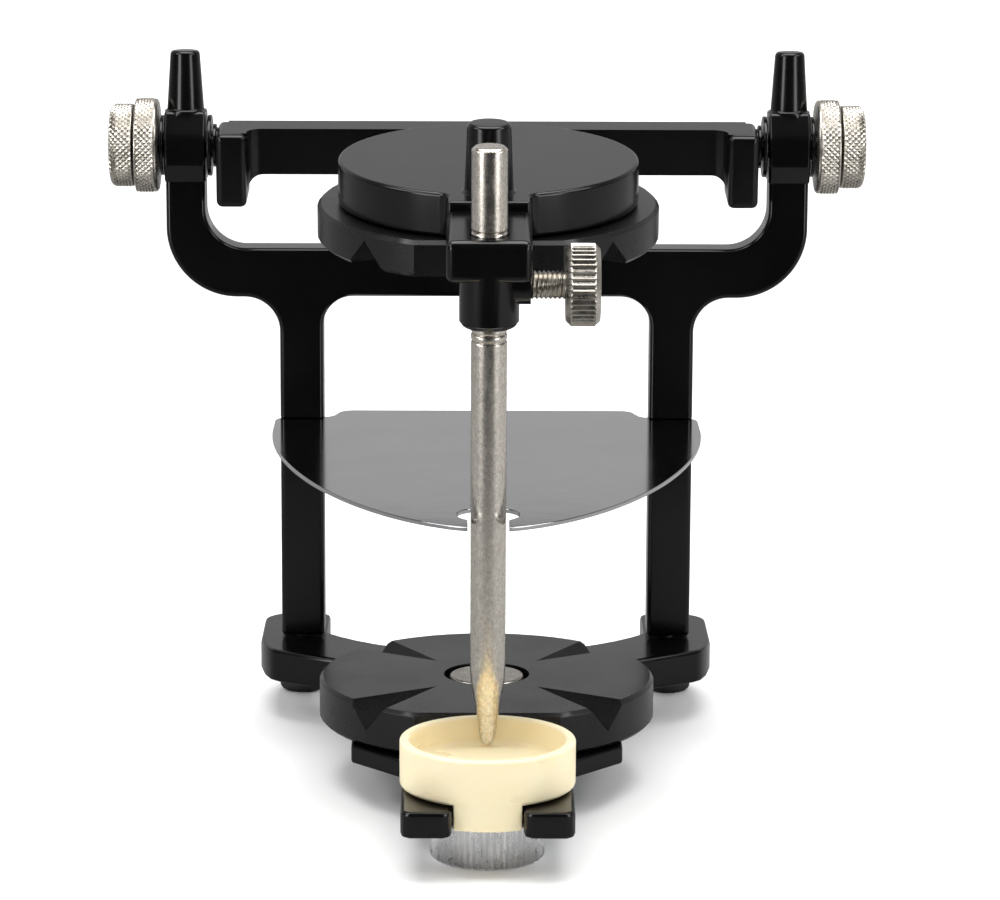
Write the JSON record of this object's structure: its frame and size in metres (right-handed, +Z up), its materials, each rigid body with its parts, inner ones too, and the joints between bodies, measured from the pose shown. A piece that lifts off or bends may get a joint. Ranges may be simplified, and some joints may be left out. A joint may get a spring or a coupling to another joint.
{
  "type": "dental articulator",
  "caption": "Black dental articulator: a stand with two posts, a hinged upper member with a magnetic plate, an incisal pin over a cup, and a steel occlusal plate.",
  "frame": {"origin": "on the table, under the centre of the lower split-cast plate, at the bottom centre of the object's box", "axes": "+X to the articulator's right as seen from the front, +Y to the back where the hinge is, +Z up"},
  "size_m": [0.1502, 0.1376, 0.134],
  "materials": {
    "black_enamel": "glossy black stove enamel on cast alloy",
    "black_plate": "satin black enamel",
    "nickel": "nickel plate, knurled grips",
    "satin_steel": "satin ground steel, faintly mottled",
    "screw_steel": "bright zinc on steel",
    "mirror_steel": "polished sheet steel",
    "cream_plastic": "cream acetal, smooth",
    "nut_aluminium": "bright turned aluminium, straight knurl",
    "brass": "turned brass",
    "foot_rubber": "matt black rubber"
  },
  "bodies": {
    "stand": {"base_plate": "black_enamel", "upright_frame": "black_enamel", "frame_screw_left": "screw_steel", "frame_screw_right": "screw_steel", "rear_foot_left": "foot_rubber", "rear_foot_right": "foot_rubber", "lower_split_cast_plate": "black_plate", "lower_magnet": "nickel", "lower_plate_screw": "screw_steel", "outer_collar_left": "black_enamel", "outer_collar_right": "black_enamel", "inner_collar_left": "black_enamel", "inner_collar_right": "black_enamel", "occlusal_plate": "mirror_steel"},
    "upper_member": {"upper_frame": "black_enamel", "upper_split_cast_plate": "black_plate", "upper_magnet": "nickel", "upper_plate_screw": "screw_steel", "axle_bush_left": "black_enamel", "axle_bush_right": "black_enamel"},
    "pin": {"incisal_pin": "satin_steel"},
    "pressure_pad": {"pin_pressure_pad": "brass"},
    "lock_screw": {"pin_lock_stud": "nickel", "pin_lock_knob": "nickel"},
    "incisal_table": {"incisal_table_cup": "cream_plastic", "table_stud": "screw_steel"},
    "table_nut": {"table_lock_nut": "nut_aluminium"},
    "condyle_left": {"condyle_screw_left": "screw_steel", "condyle_knob_left": "nickel"},
    "condyle_right": {"condyle_screw_right": "screw_steel", "condyle_knob_right": "nickel"},
    "ring_left": {"lock_ring_left": "nickel"},
    "ring_right": {"lock_ring_right": "nickel"}
  },
  "joints": [
    {"name": "upper_member_hinge", "type": "hinge", "parent": "stand", "child": "upper_member", "pos_m": [0, 0.052, 0.115], "axis": [-1, 0, 0], "range_deg": [0, 180]},
    {"name": "incisal_pin_slide", "type": "slide", "parent": "upper_member", "child": "pin", "axis": [0, -0.1097, 0.994], "range_m": [0, 0.025]},
    {"name": "pressure_pad_slide", "type": "slide", "parent": "upper_member", "child": "pressure_pad", "axis": [1, 0, 0], "range_m": [0, 0.0012]},
    {"name": "lock_screw_turn", "type": "hinge", "parent": "pressure_pad", "child": "lock_screw", "pos_m": [0.01645, -0.04885, 0.10356], "axis": [1, 0, 0], "range_deg": [0, 540]},
    {"name": "incisal_table_slide", "type": "slide", "parent": "stand", "child": "incisal_table", "axis": [0, 1, 0], "range_m": [0, 0.006]},
    {"name": "table_nut_turn", "type": "hinge", "parent": "incisal_table", "child": "table_nut", "pos_m": [0, -0.0515, 0.004], "axis": [0, 0, 1], "continuous": true},
    {"name": "condyle_left_turn", "type": "hinge", "parent": "stand", "child": "condyle_left", "pos_m": [-0.07, 0.052, 0.115], "axis": [1, 0, 0], "continuous": true},
    {"name": "condyle_right_turn", "type": "hinge", "parent": "stand", "child": "condyle_right", "pos_m": [0.07, 0.052, 0.115], "axis": [1, 0, 0], "continuous": true},
    {"name": "ring_left_turn", "type": "hinge", "parent": "stand", "child": "ring_left", "pos_m": [-0.0677, 0.052, 0.115], "axis": [1, 0, 0], "continuous": true},
    {"name": "ring_right_turn", "type": "hinge", "parent": "stand", "child": "ring_right", "pos_m": [0.0677, 0.052, 0.115], "axis": [1, 0, 0], "continuous": true}
  ],
  "couplings": [
    {"joint": "pressure_pad_slide", "follows": "lock_screw_turn", "m_per_rad": 0.00012732}
  ]
}
